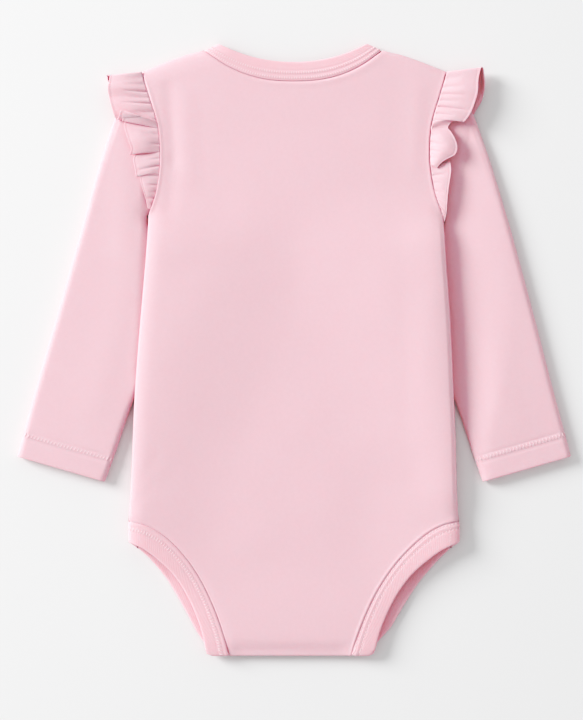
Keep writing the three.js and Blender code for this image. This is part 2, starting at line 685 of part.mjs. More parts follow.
// The turn over the shoulder, from the back's side of the fold to the front's.
function shoulderStations() {
  const { back, front } = RUFFLE_ROOT;
  const { out, low, high } = RUFFLE_TOP;
  const rootTop = SHOULDER_TIP.y - 0.9;
  const hemTop = rootTop - 1.6;
  const turns = [60, 20, -20, -60].map(THREE.MathUtils.degToRad);
  return turns.map((turn) => ({
    root: new THREE.Vector3(
      SHOULDER_TIP.half + SEAM_GAP / 2,
      rootTop - 3.6 * (1 - Math.cos(turn)),
      mix(front, back, (1 + Math.sin(turn)) / 2),
    ),
    hem: new THREE.Vector3(
      SHOULDER_TIP.half + out + 1.6 * (1 - Math.cos(turn)) * Math.sign(-turn),
      hemTop - 4.2 * (1 - Math.cos(turn)),
      mix(low, high, (1 + Math.sin(turn)) / 2),
    ),
  }));
}

function ruffle({ sign }) {
  const ROWS = [0, 0.3, 0.65, 1];
  const BETWEEN = 2;
  const stations = [
    ...RUFFLE_BACK.map((row) => ruffleStation(row, RUFFLE_ROOT.back)),
    ...shoulderStations(),
    ...RUFFLE_FRONT.map((row) => ruffleStation(row, RUFFLE_ROOT.front)),
  ];
  const roots = new THREE.CatmullRomCurve3(stations.map((s) => s.root), false, 'centripetal');
  const hems = new THREE.CatmullRomCurve3(stations.map((s) => s.hem), false, 'centripetal');
  const count = (stations.length - 1) * BETWEEN;
  const points = [];
  for (let i = 0; i <= count; i += 1) {
    const root = roots.getPoint(i / count);
    const hem = hems.getPoint(i / count);
    points.push(ROWS.map((v) => {
      const half = mix(root.x, hem.x, v);
      const y = mix(root.y, hem.y, v);
      return placed(sign, half, y, mix(root.z, hem.z, v ** 0.8));
    }));
  }
  return wallOf(points, RUFFLE_CLOTH);
}

// A snap cap is a shallow dish with a rolled rim, pressed through the front flap.
function snapCap() {
  const { radius, thickness, rim, dish } = SNAP;
  const profile = [
    new THREE.Vector2(0, dish),
    new THREE.Vector2(radius - 2 * rim, dish),
    new THREE.Vector2(radius - 1.4 * rim, 0),
    new THREE.Vector2(radius - 0.6 * rim, 0),
    new THREE.Vector2(radius, thickness * 0.45),
    new THREE.Vector2(radius - 0.3 * rim, thickness),
    new THREE.Vector2(0, thickness),
  ];
  return new THREE.LatheGeometry(profile, 16);
}

addPiece('back_panel', backPanel(), clothMaterial(PINK));
addPiece('front_panel', frontPanel(), clothMaterial(PINK));
addPiece('neckband', neckband(), clothMaterial(0xf4ccd6));
for (const side of SIDES) {
  addPiece(`sleeve_${side.name}`, sleeve(side), clothMaterial(PINK));
  addPiece(`leg_band_${side.name}`, legBand(side), clothMaterial(0xf4ccd6));
  addPiece(`ruffle_${side.name}`, ruffle(side), clothMaterial(0xf7d4dc));
}
for (let i = 0; i < SNAP.count; i += 1) {
  const snap = new THREE.Mesh(
    snapCap(),
    new THREE.MeshStandardMaterial({ color: 0xf0c4cf, roughness: 0.35, metalness: 0 }),
  );
  snap.name = `snap_cap_${i + 1}`;
  snap.rotation.x = Math.PI / 2;
  snap.position.set((i - (SNAP.count - 1) / 2) * SNAP.spacing + centreShift(SNAP.y), SNAP.y, 0);
  garment.add(snap);
}

export default garment;
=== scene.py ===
import bmesh
import bpy
import numpy as np
from mathutils import Matrix, Vector


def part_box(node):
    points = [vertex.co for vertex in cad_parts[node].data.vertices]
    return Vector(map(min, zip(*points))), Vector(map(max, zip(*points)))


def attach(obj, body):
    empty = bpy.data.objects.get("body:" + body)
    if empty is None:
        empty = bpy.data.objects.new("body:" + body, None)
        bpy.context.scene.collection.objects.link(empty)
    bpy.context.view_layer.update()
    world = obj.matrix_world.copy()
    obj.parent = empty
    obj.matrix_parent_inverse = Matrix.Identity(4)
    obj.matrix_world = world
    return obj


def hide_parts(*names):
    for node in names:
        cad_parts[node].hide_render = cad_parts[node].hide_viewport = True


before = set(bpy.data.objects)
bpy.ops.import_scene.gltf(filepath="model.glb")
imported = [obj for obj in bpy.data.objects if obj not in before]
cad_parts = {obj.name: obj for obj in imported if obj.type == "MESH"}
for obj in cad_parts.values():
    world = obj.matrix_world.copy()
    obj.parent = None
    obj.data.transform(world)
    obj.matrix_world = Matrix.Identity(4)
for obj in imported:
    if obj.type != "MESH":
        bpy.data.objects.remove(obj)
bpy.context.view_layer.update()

# ---------------------------------------------------------------------------------------------
# Back panel
# One piece of light pink cotton jersey from the neck down to a tail that runs on under the
# crotch. It lies on top, face up, and turns over at its sides, where it is sewn to the front.
# Lengths are in millimetres, and a half is measured from the garment's centre line.
# ---------------------------------------------------------------------------------------------
MM = 0.001
BODY_PINK = (0.93, 0.553, 0.612)
BODY_CLOTH = 0.9
BODY_THICK = 6.4
FOLD_IN = 11.5
PLUMP = 0.5
SLEEVE_UNDER = 3.9
CROTCH = -214.6
SNAP_LIFT = 1.3
TAIL_FACE = 3.45
SHOULDER_TIP = (107.0, 194.5)


def smooth(t):
    t = np.clip(t, 0, 1)
    return t * t * (3 - 2 * t)


def blend(a, b, t):
    return a + (b - a) * t


class Line:
    """A smooth line through the rows of a table, followed by its length from 0 to 1."""

    def __init__(self, rows, steps=14):
        p = np.array(rows, float)
        p = np.vstack([2 * p[0] - p[1], p, 2 * p[-1] - p[-2]])
        gap = np.linalg.norm(np.diff(p, axis=0), axis=1)[:, None] ** 0.5
        before, here, after = gap[:-2], gap[1:-1], gap[2:]
        a, b, c, d = p[:-3], p[1:-2], p[2:-1], p[3:]
        leave = ((b - a) / before - (c - a) / (before + here) + (c - b) / here) * here
        arrive = ((c - b) / here - (d - b) / (here + after) + (d - c) / after) * here
        t = (np.arange(steps) / steps)[None, :, None]
        b, c, leave, arrive = (x[:, None, :] for x in (b, c, leave, arrive))
        points = b + leave * t + (3 * (c - b) - 2 * leave - arrive) * t**2
        points = points + (2 * (b - c) + leave + arrive) * t**3
        self.points = np.vstack([points.reshape(-1, p.shape[1]), p[-2:-1]])
        steps_long = np.linalg.norm(np.diff(self.points, axis=0), axis=1)
        self.run = np.concatenate([[0.0], np.cumsum(steps_long)])
        self.length = self.run[-1]

    def at(self, share):
        run = np.asarray(share, float) * self.length
        return np.stack([np.interp(run, self.run, side) for side in self.points.T], -1)

    def where(self, axis, value):
        return self.at(np.interp(value, self.points[:, axis], self.run) / self.length)

    def distance(self, x, y):
        nearest = np.full(np.shape(x), np.inf)
        for a, b in zip(self.points[:-1], self.points[1:]):
            dx, dy = b - a
            t = np.clip(((x - a[0]) * dx + (y - a[1]) * dy) / (dx * dx + dy * dy), 0, 1)
            nearest = np.minimum(nearest, np.hypot(x - a[0] - t * dx, y - a[1] - t * dy))
        return nearest


side = Line([(115.8, -134.6), (115.4, -119.4), (114.2, -98.4), (112.1, -42.4), (108.9, 13.7),
             (104.6, 69.7), (103.2, 94)])
armhole = Line([(103.2, 94), (98.6, 106), (95.1, 124), (94.4, 140), (96, 158), (102.2, 179),
                SHOULDER_TIP])
shoulder = Line([(52.2, 214.4), (62.4, 209.8), (75, 206.7), (88, 202.2), (98, 198.2), SHOULDER_TIP])
back_leg_seam = Line([(43, CROTCH), (45.9, -203), (53.7, -181.8), (63.3, -162.6), (75.4, -145.4),
                      (91, -130), (104, -122.6), (115.6, -120)])
BACK_NECK = {"seam_y": 187.8, "seam_round": 2.45, "edge_y": 201.4, "edge_round": 2.15}
NECK_SEAM = (62.4, 209.8)

# The sleeve's inner fold beside the arm's line, which the body lies on lower down
SLEEVE_AXIS = (0.277, -0.961)
inner_fold = Line([(96.2, -30.6), (101, -32.4), (106, -36.4), (111, -42.6), (116.5, -49.8),
                   (123, -56), (133, -61), (150, -62.6), (178, -61.7), (206, -59.9),
                   (236, -57.4), (265.4, -56.1), (283, -55.1)])


def sleeve_place(along, across):
    half = SHOULDER_TIP[0] + SLEEVE_AXIS[0] * along - SLEEVE_AXIS[1] * across
    return half, SHOULDER_TIP[1] + SLEEVE_AXIS[1] * along + SLEEVE_AXIS[0] * across


tucked = Line(np.stack(sleeve_place(*inner_fold.points[::14].T), -1)[::-1])
SHIFT_Y = [-214.6, -170, -134, -112, -70, -28, 28, 84, 150, 195, 214.6]
SHIFT_X = [-3.3, -2.2, -0.6, -1.0, -0.6, -0.55, 0.35, 0.75, 0.0, -0.5, -1.6]


def placed(sign, half, y, z):
    """Points of the garment, at a half to one side of its slightly bent centre line."""
    half, y, z = np.broadcast_arrays(half, y, z)
    return np.stack([sign * half + np.interp(y, SHIFT_Y, SHIFT_X), y, z], -1)


def neck_line(neck, half):
    """Height of the neck seam, and past it of the shoulder, over the width of the body."""
    rise = NECK_SEAM[1] - neck["seam_y"]
    inside = neck["seam_y"] + rise * np.clip(half / NECK_SEAM[0], 0, 1) ** neck["seam_round"]
    return np.where(half > NECK_SEAM[0], shoulder.where(0, half)[..., 1], inside)


def body_faces(half, y, fold=FOLD_IN):
    """Heights of the under face, of the line where both panels meet, and of the top face."""
    edge = np.minimum(side.distance(half, y), shoulder.distance(half, y))
    held = smooth((half - (tucked.where(1, np.minimum(y, 60))[..., 0] - 53)) / 48)
    lift = SLEEVE_UNDER * held * smooth((112 - y) / 34)
    spread = smooth((half - (tucked.where(1, np.minimum(y, 60))[..., 0] - 92)) / 88)
    crotch = smooth((-150 - y) / 40)
    under = np.maximum(lift, SNAP_LIFT * crotch)
    top = SLEEVE_UNDER * spread * smooth((118 - y) / 52) + BODY_THICK + PLUMP * smooth(1 - edge / 60)
    top = blend(top, 7.2, crotch)
    middle = (top + under) / 2
    rise = np.sqrt(1 - (1 - np.clip(edge / fold, 0, 1)) ** 2)
    return middle - (middle - under) * rise, middle, middle + (top - middle) * rise


def soft_folds(x, y, table):
    """Soft ridges and troughs: from (x, y) to (x, y), height, and half width."""
    height = np.zeros(np.shape(x))
    for x0, y0, x1, y1, high, wide in table:
        dx, dy = x1 - x0, y1 - y0
        t = np.clip(((x - x0) * dx + (y - y0) * dy) / (dx * dx + dy * dy), 0, 1)
        from_line = np.hypot(x - x0 - t * dx, y - y0 - t * dy)
        height = height + high * np.exp(-((from_line / wide) ** 2))
    return height


def cloth_mesh(name, points, face_up=None, outward=False):
    """A laid cloth: a grid moved to points[row][column], merged where its edges meet.

    Its UV map is the cloth laid flat, one unit for each 100 mm along its rows and columns.
    """
    rows, columns = points.shape[:2]
    step_across = np.linalg.norm(np.diff(points, axis=1), axis=2)
    step_along = np.linalg.norm(np.diff(points, axis=0), axis=2)
    across = np.concatenate([np.zeros((rows, 1)), np.cumsum(step_across, 1)], 1)
    across = across - across[:, columns // 2 : columns // 2 + 1]
    along = np.concatenate([np.zeros((1, columns)), np.cumsum(step_along, 0)], 0)
    shape = bmesh.new()
    bmesh.ops.create_grid(shape, x_segments=columns - 1, y_segments=rows - 1, size=0.5)
    uv = shape.loops.layers.uv.new("cloth")
    for vert in shape.verts:
        column = round((vert.co.x + 0.5) * (columns - 1))
        row = round((vert.co.y + 0.5) * (rows - 1))
        vert.co = points[row, column] * MM
        for loop in vert.link_loops:
            loop[uv].uv = (across[row, column] * 0.01, along[row, column] * 0.01)
    bmesh.ops.remove_doubles(shape, verts=shape.verts, dist=1e-6)
    bmesh.ops.recalc_face_normals(shape, faces=shape.faces)
    if face_up is not None:
        shape.normal_update()
        turned = sum(face.normal.z * face.calc_area() for face in shape.faces)
        if turned * face_up < 0:
            bmesh.ops.reverse_faces(shape, faces=shape.faces)
    if outward and shape.calc_volume(signed=True) < 0:
        bmesh.ops.reverse_faces(shape, faces=shape.faces)
    mesh = bpy.data.meshes.new(name)
    shape.to_mesh(mesh)
    shape.free()
    mesh.shade_smooth()
    piece = bpy.data.objects.new(name, mesh)
    bpy.context.collection.objects.link(piece)
    return piece


def give_wall(piece, cloth, offset=-1.0):
    """Gives a laid cloth its thickness, inwards from its outer face."""
    wall = piece.modifiers.new("cloth wall", "SOLIDIFY")
    wall.thickness = cloth * MM
    wall.offset = offset
    wall.use_even_offset = False


class Shade:
    """A shader socket. Arithmetic on it adds the Math nodes."""

    def __init__(self, tree, socket=None):
        self.tree, self.socket = tree, socket

    def node(self, kind, inputs=None, output=0, **settings):
        """Adds a node, sets its settings and then its sockets, and returns an output."""
        made = self.tree.nodes.new(kind)
        for setting, value in settings.items():
            setattr(made, setting, value)
        for name, value in (inputs or {}).items():
            if isinstance(value, Shade):
                self.tree.links.new(value.socket, made.inputs[name])
            else:
                made.inputs[name].default_value = value
        return Shade(self.tree, made.outputs[output])

    def maths(self, operation, *values):
        return self.node("ShaderNodeMath", dict(enumerate(values)), operation=operation)

    def __add__(self, other):
        return self.maths("ADD", self, other)

    def __sub__(self, other):
        return self.maths("SUBTRACT", self, other)

    def __rsub__(self, other):
        return self.maths("SUBTRACT", other, self)

    def __mul__(self, other):
        return self.maths("MULTIPLY", self, other)

    def __abs__(self):
        return self.maths("ABSOLUTE", self)

    __radd__ = __add__
    __rmul__ = __mul__

    def sine(self):
        return self.maths("SINE", self)


def knit_cloth(name, colour, wales, courses, rib=0.0, depth=0.12, worn=0.035, sheen=0.12):
    """A knitted cotton: columns of stitches along the cloth, and ribs if it is a rib knit."""
    finish = bpy.data.materials.new(name)
    finish.use_nodes = True
    tree = finish.node_tree
    shader = tree.nodes["Principled BSDF"]
    start = Shade(tree)
    place = start.node("ShaderNodeUVMap", uv_map="cloth")
    split = start.node("ShaderNodeSeparateXYZ", {0: place})
    column = split * 100
    row = Shade(tree, split.socket.node.outputs[1]) * 100
    # A stitch is a V: its two legs lean to the middle of its column
    leg = abs((column * (np.pi / wales)).sine())
    loop = ((row * (2 * np.pi / courses)) + leg * 2.4).sine()
    fuzz = start.node("ShaderNodeTexNoise", {"Vector": place, "Scale": 160.0, "Detail": 4.0})
    knit = leg * 0.6 + loop * 0.25 + fuzz * 0.5
    if rib:
        knit = knit * 0.6 + (column * (2 * np.pi / rib)).sine() * 0.4
    whole = start.node("ShaderNodeTexCoord", output=3)
    soft = start.node("ShaderNodeTexNoise", {"Vector": whole, "Scale": 21.0, "Detail": 3.0})
    fine = start.node("ShaderNodeTexNoise", {"Vector": whole, "Scale": 420.0, "Detail": 2.0})
    tone = 1 + (soft - 0.5) * worn + (fine - 0.5) * 0.05 - leg * 0.012
    shaded = start.node("ShaderNodeVectorMath",
                        {0: start.node("ShaderNodeCombineXYZ", dict(enumerate(colour))),
                         "Scale": tone}, operation="SCALE")
    bump = start.node("ShaderNodeBump", {"Height": knit, "Distance": depth * MM, "Strength": 0.6})
    tree.links.new(shaded.socket, shader.inputs["Base Color"])
    tree.links.new(bump.socket, shader.inputs["Normal"])
    shader.inputs["Roughness"].default_value = 0.9
    shader.inputs["Specular IOR Level"].default_value = 0.25
    shader.inputs["Sheen Weight"].default_value = sheen
    shader.inputs["Sheen Roughness"].default_value = 0.45
    shader.inputs["Sheen Tint"].default_value = (1.0, 0.7, 0.77, 1)
    shader.inputs["Subsurface Weight"].default_value = 0.3
    shader.inputs["Subsurface Radius"].default_value = (1.0, 0.32, 0.36)
    shader.inputs["Subsurface Scale"].default_value = 3 * MM
    return finish


def dress(piece, finish, slot, *nodes):
    """The piece's finish, and the part of the solid model that it stands for."""
    piece.data.materials.append(finish)
    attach(piece, "root")
    if nodes:
        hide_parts(*nodes)


body_jersey = knit_cloth("light pink cotton jersey", BODY_PINK, wales=0.62, courses=0.52)

EDGE_STEPS = np.array([0, 0.22, 0.6, 1.15, 1.9, 2.8, 4, 5.5, 7.2, 9.2, 11.5, 14.2, 17.3, 21, 25.5, 31])
NECK_COLUMN = 62.55


def panel_grid(leg_seam, bottom_y, neck):
    """Half and y of a panel's right side, row by row from the crotch to the shoulder."""
    rows = []
    for share in np.linspace(0, 1, 46):
        edge = leg_seam.at(share)
        rows.append((*edge, blend(bottom_y, -112, share), 0.0, 0.0))
    for y in np.linspace(-119, 93.5, 58)[1:]:
        centre_y = min(y, 70.0) if y > -108 else blend(-112, -108, (y + 119) / 11)
        rows.append((side.where(1, y)[0], y, centre_y, 0.0, 0.0))
    for share in np.linspace(0.015, 0.94, 44):
        rows.append((*armhole.at(share), None, share, None))
    for below in (5.5, 4, 2.8, 1.9, 1.15, 0.6, 0.22, 0.0):
        rows.append((*armhole.where(1, SHOULDER_TIP[1] - below), None, 1.0, below))
    halves, heights = [], []
    for edge_half, edge_y, centre_y, top, below in rows:
        steps = EDGE_STEPS * min(1.0, edge_half / 103)
        inside = edge_half - steps[-1]
        neck_column = blend(edge_half * 0.586, NECK_COLUMN, top)
        half = np.concatenate([
            edge_half - steps,
            np.linspace(inside, neck_column, 5)[1:],
            np.linspace(neck_column, 0, 18)[1:],
        ])
        share = half / edge_half
        if centre_y is not None:
            y = blend(centre_y, edge_y, share**3)
        else:
            line = neck_line(neck, half)
            if below is not None:
                y = line - below
            else:
                inside_y = blend(blend(76, neck["seam_y"] - 12, top), line - 5.5, top**1.6)
                y = blend(inside_y, edge_y, share**3)
        halves.append(half)
        heights.append(y)
    return np.array(halves), np.array(heights)


def seam_relief(half, y, seam, ridge=0.28, ridge_in=2.4, wide=1.5, groove=0.75):
    """The narrow groove of a seam, and the low ridge of its allowance beside it."""
    away = seam.distance(half, y)
    return -groove * np.exp(-((away / 0.5) ** 2)) + ridge * np.exp(-(((away - ridge_in) / wide) ** 2))


def neck_seam_line(neck):
    half = np.linspace(0, NECK_SEAM[0], 40)
    rise = NECK_SEAM[1] - neck["seam_y"]
    seam_y = neck["seam_y"] + rise * (half / NECK_SEAM[0]) ** neck["seam_round"]
    return Line(np.stack([half, seam_y], -1), 1)


back_half, back_y = panel_grid(back_leg_seam, CROTCH + 1.4, BACK_NECK)
back_y[0] = CROTCH + 1.4
_, _, back_top = body_faces(back_half, back_y)
back_top = back_top + seam_relief(back_half, back_y, neck_seam_line(BACK_NECK))
back_top = back_top + seam_relief(back_half, back_y, armhole, ridge=0.24, ridge_in=1.2, wide=0.8,
                                  groove=0.5)
# Down to the crotch fold the top face rounds over, with a soft trough just above the fold
crotch_round = np.clip((-198.5 - back_y) / 14.7, 0, 1)
from_leg = back_leg_seam.distance(back_half, back_y)
crotch_dip = np.exp(-(((back_y + 210.5) / 3.6) ** 2)) * smooth((from_leg - 1) / 8)
back_top = back_top - 1.7 * crotch_round**2 - 0.9 * crotch_dip

# Creases of the back as it lies: x, y to x, y, height and half width
BACK_CREASES = [
    (-88, 184, -85, 132, -0.55, 4.2),
    (-85, 132, -88, 98, -0.4, 4.6),
    (-76, 176, -74, 120, 0.35, 6),
    (86, 182, 83, 130, 0.3, 6),
    (-108, -92, -98, -78, -0.3, 3.5),
    (-112, -108, -100, -96, -0.35, 2.6),
    (-72, 60, -52, 96, -0.35, 16),
    (40, 40, 66, 84, -0.3, 18),
    (-30, -60, -4, -20, -0.3, 20),
    (20, -118, 48, -70, 0.3, 18),
    (-52, -150, -22, -128, 0.3, 14),
    (-40, 150, 30, 158, -0.3, 16),
    (88, -60, 92, 30, 0.3, 9),
]
both = []
for sign in (-1, 1):
    grid = placed(sign, back_half, back_y, back_top)
    from_side = side.distance(back_half, back_y)
    lay = soft_folds(grid[..., 0], grid[..., 1], BACK_CREASES) * smooth(from_side / 8)
    if sign > 0:
        leg_line = seam_relief(back_half, back_y, back_leg_seam, 0.36, 1.2, 0.8, groove=0.1)
        # The right side swells a little and ends in a narrow rolled lip
        fuller, rounder, crown = (np.sqrt(1 - (1 - np.clip(from_side / w, 0, 1)) ** 2)
                                  for w in (2.6, FOLD_IN, 4))
        swell = 2.2 * (fuller - rounder) + 1.2 * crown * smooth((34 - from_side) / 27)
        swell = swell + 0.8 * np.exp(-(((from_side - 0.7) / 0.42) ** 2))
        swell = swell - 0.4 * np.exp(-(((from_side - 1.8) / 0.5) ** 2))
        lay = lay + swell * smooth((100 - back_y) / 24) * smooth((back_y + 118) / 22)
    else:
        leg_line = seam_relief(back_half, back_y, back_leg_seam, -0.25, 0.8, 2.4, groove=0.35)
        # The left armhole's edge stands up a little over the ruffle's seam
        from_arm = armhole.distance(back_half, back_y)
        lay = lay + 0.8 * np.exp(-((from_arm / 0.7) ** 2)) * smooth((182 - back_y) / 20)
    lay = lay + leg_line * smooth((from_side + 1) / 5)
    grid[..., 2] += lay
    both.append(grid if sign < 0 else grid[:, ::-1][:, 1:])
back_points = np.concatenate(both, 1)

# Past the crotch the cloth turns under, and its tail lies between the layers of the front
bottom = back_points[0]
wrap = []
for turn in np.linspace(0, np.pi, 10)[1:]:
    row = bottom.copy()
    radius = (bottom[:, 2] - TAIL_FACE) / 2
    row[:, 1] = bottom[:, 1] - 1.4 * np.sin(turn)
    row[:, 2] = TAIL_FACE + radius * (1 + np.cos(turn))
    wrap.append(row)
for run in (6, 12, 18, 24, 30):
    row = wrap[8].copy()
    row[:, 1] += run
    wrap.append(row)
back_points = np.concatenate([np.array(wrap[::-1]), back_points], 0)
back_panel = cloth_mesh("back_panel_cloth", back_points, face_up=1)
give_wall(back_panel, BODY_CLOTH)
dress(back_panel, body_jersey, "body_cloth", "back_panel")

# ---------------------------------------------------------------------------------------------
# Front panel
# The same jersey, cut with a deeper neck. It lies underneath, face down on the surface, and its
# flap at the crotch lies over the back's tail, where the snaps hold it.
# ---------------------------------------------------------------------------------------------
FLAP_END = -207.0
FRONT_NECK = {"seam_y": 154, "seam_round": 1.6, "edge_y": 167.5, "edge_round": 1.6}
front_leg_seam = Line([(48, FLAP_END), (59.8, -181.5), (69.6, -164.6), (79, -151.4), (90, -138.6),
                       (102, -127.6), (115.6, -120)])
front_half, front_y = panel_grid(front_leg_seam, FLAP_END, FRONT_NECK)
front_under, _, _ = body_faces(front_half, front_y)
front_under = front_under - np.minimum(0, seam_relief(front_half, front_y, front_leg_seam))
front_under = front_under - np.minimum(0, seam_relief(front_half, front_y, armhole))
front_under = front_under - np.minimum(0, seam_relief(front_half, front_y, neck_seam_line(FRONT_NECK)))
front_points = np.concatenate([
    placed(-1, front_half, front_y, front_under),
    placed(1, front_half, front_y, front_under)[:, ::-1][:, 1:],
], 1)
front_panel = cloth_mesh("front_panel_cloth", front_points, face_up=-1)
give_wall(front_panel, BODY_CLOTH)
dress(front_panel, body_jersey, "body_cloth", "front_panel")

# ---------------------------------------------------------------------------------------------
# Neckband
# A strip of rib knit folded double and joined in a ring, sewn all round the neck so that the
# fold is its free edge, and held by a row of cover stitches on each side of the seam.
# ---------------------------------------------------------------------------------------------
BAND_CLOTH = 1.8
NECK_EDGE_HALF = 52.2
NECK_TOP = 214.4
BAND_ACROSS = np.concatenate([[0, 0.006, 0.025, 0.06], np.arange(0.09, 0.925, 0.03),
                              [0.94, 0.975, 0.994, 1]])
LAST = len(BAND_ACROSS) - 1
NECK_STITCH_PITCH = 1.75
NECK_STITCH_THICK = 0.78
rib_knit = knit_cloth("light pink rib knit", (0.93, 0.548, 0.607), wales=0.62, courses=0.6, rib=1.7,
                      depth=0.14)


def band_faces(middles, high, puff, rows):
    """The faces of a doubled strip round its middle, drawn in along its rows of stitches."""
    closed = np.allclose(middles[0], middles[-1])
    along = np.gradient(middles, axis=0)
    if closed:
        along[0] = along[-1] = middles[1] - middles[-2]
    normal = np.cross(along, np.gradient(middles, axis=1))
    normal /= np.linalg.norm(normal, axis=2)[..., None]
    reach = high / 2 * np.sqrt(1 - np.abs(2 * BAND_ACROSS - 1) ** 16)
    reach = reach + puff * np.sin(np.pi * BAND_ACROSS) * (reach > 0)
    for across, deep in rows:
        reach = reach - deep * np.exp(-(((BAND_ACROSS - across) / 0.035) ** 2)) * (reach > 0.3)
    over = middles + normal * reach[None, :, None]
    under = middles - normal * reach[None, :, None]
    return np.concatenate([over, under[:, ::-1][:, 1:]], 1)


def band_height(half, y, face, cloth=BAND_CLOTH):
    """Mid height of a band on the back, on the front, or at the fold between them."""
    under, middle, top = body_faces(half, y)
    edge = np.minimum(side.distance(half, y), shoulder.distance(half, y))
    rise = np.sqrt(1 - (1 - np.clip((edge - cloth / 2) / (FOLD_IN - cloth / 2), 0, 1)) ** 2)
    full_under, _, full_top = body_faces(half, y, fold=0.01)
    full_top = full_top - 0.9 * (1 - np.sqrt(1 - np.clip((-201.5 - y) / 12, 0, 0.98) ** 2))
    if face == "back":
        return middle + (full_top - cloth / 2 - middle) * rise
    if face == "front":
        return middle - (middle - full_under - cloth / 2) * rise
    return middle


def neck_section(neck, face, share):
    size, sign = abs(share), (1 if share >= 0 else -1)
    edge = np.array([size * NECK_EDGE_HALF,
                     neck["edge_y"] + (NECK_TOP - neck["edge_y"]) * size ** neck["edge_round"]])
    seam = np.array([size * NECK_SEAM[0],
                     neck["seam_y"] + (NECK_SEAM[1] - neck["seam_y"]) * size ** neck["seam_round"]])
    half, y = blend(edge[:, None], seam[:, None], BAND_ACROSS * 0.985)
    return placed(sign, half, y, band_height(half, y, face))


tip = 1 - 0.9 / NECK_SEAM[0]
near = 1 - np.array([1.15, 1.5, 2, 2.7, 3.5, 4.5, 5.6]) / NECK_SEAM[0]
right = np.concatenate([near, np.linspace(0.885, 0.02, 34)])
shares = np.concatenate([-right, [0], right[::-1]])
ring = [neck_section(BACK_NECK, "middle", -tip)]
ring += [neck_section(BACK_NECK, "back", share) for share in shares]
ring += [neck_section(BACK_NECK, "middle", tip)]
ring += [neck_section(FRONT_NECK, "front", share) for share in shares[::-1]]
ring += [ring[0]]
neck_points = band_faces(np.array(ring), BAND_CLOTH, 0.12, [(0.45, 0.14), (0.7, 0.16), (0.94, 0.1)])
neckband = cloth_mesh("neckband_rib", neck_points.transpose(1, 0, 2), outward=True)
dress(neckband, rib_knit, "band_cloth", "neckband")


def speckled(name, dark, light, scale, roughness):
    """A finish whose colour varies a little from place to place."""
    finish = bpy.data.materials.new(name)
    finish.use_nodes = True
    shader = finish.node_tree.nodes["Principled BSDF"]
    start = Shade(finish.node_tree)
    place = start.node("ShaderNodeTexCoord", output=3)
    noise = start.node("ShaderNodeTexNoise", {"Vector": place, "Scale": scale, "Detail": 3.0})
    colour = start.node("ShaderNodeMix", {0: noise, 6: (*dark, 1), 7: (*light, 1)}, output=2,
                        data_type="RGBA")
    bump = start.node("ShaderNodeBump", {"Height": noise, "Distance": 0.05 * MM, "Strength": 0.3})
    finish.node_tree.links.new(colour.socket, shader.inputs["Base Color"])
    finish.node_tree.links.new(bump.socket, shader.inputs["Normal"])
    shader.inputs["Roughness"].default_value = roughness
    shader.inputs["Specular IOR Level"].default_value = 0.25
    return finish


def on_cloth(points, row, column):
    """Points between the rows and columns of a cloth's grid."""
    row, column = np.broadcast_arrays(np.asarray(row, float), column)
    r0 = np.clip(row.astype(int), 0, points.shape[0] - 2)
    c0 = np.clip(column.astype(int), 0, points.shape[1] - 2)
    r, c = (row - r0)[..., None], (column - c0)[..., None]
    near_row = blend(points[r0, c0], points[r0, c0 + 1], c)
    return blend(near_row, blend(points[r0 + 1, c0], points[r0 + 1, c0 + 1], c), r)


def stitch_places(points, column, pitch, first=0.0, last=1.0):
    """Rows of a cloth's grid at which stitches come, evenly spaced along a column."""
    rows = np.arange(len(points))
    path = on_cloth(points, rows, float(column))
    run = np.concatenate([[0], np.cumsum(np.linalg.norm(np.diff(path, axis=0), axis=1))])
    return np.interp(np.arange(first * run[-1] + pitch, last * run[-1] - pitch, pitch), run, rows)


def sew(name, slot, starts, ends, thick=0.42):
    """A row of stitches from starts to ends, each a grain of thread sunk halfway into the cloth."""
    shape = bmesh.new()
    for a, b in zip(starts, ends):
        a, b = (Vector((x, y, max(z, thick / 2))) * MM for x, y, z in (a, b))
        lie = (b - a).to_track_quat("X", "Z").to_matrix().to_4x4()
        size = Matrix.Diagonal(((b - a).length, thick * MM, thick * MM, 1))
        bmesh.ops.create_icosphere(shape, subdivisions=1, radius=0.5,
                                   matrix=Matrix.Translation((a + b) / 2) @ lie @ size)
    mesh = bpy.data.meshes.new(name)
    shape.to_mesh(mesh)
    shape.free()
    mesh.shade_smooth()
    piece = bpy.data.objects.new(name, mesh)
    bpy.context.collection.objects.link(piece)
    dress(piece, thread, slot)


thread = speckled("pink sewing thread", (0.96, 0.65, 0.7), (1.0, 0.74, 0.78), 900.0, 0.7)


def band_column(across, outer):
    """The column of a band's grid at a share of the way across it, on one of its faces."""
    place = np.interp(across, BAND_ACROSS, np.arange(LAST + 1))
    return place if outer else 2 * LAST - place


for row_name, from_edge, to_edge in (("middle", 0.49, 0.65), ("seam", 0.76, 0.92)):
    places = stitch_places(neck_points, band_column(to_edge, False), NECK_STITCH_PITCH)
    sew(f"neckband_stitches_{row_name}", "band_cloth",
        on_cloth(neck_points, places, band_column(from_edge, False)),
        on_cloth(neck_points, places, band_column(to_edge, False)), NECK_STITCH_THICK)

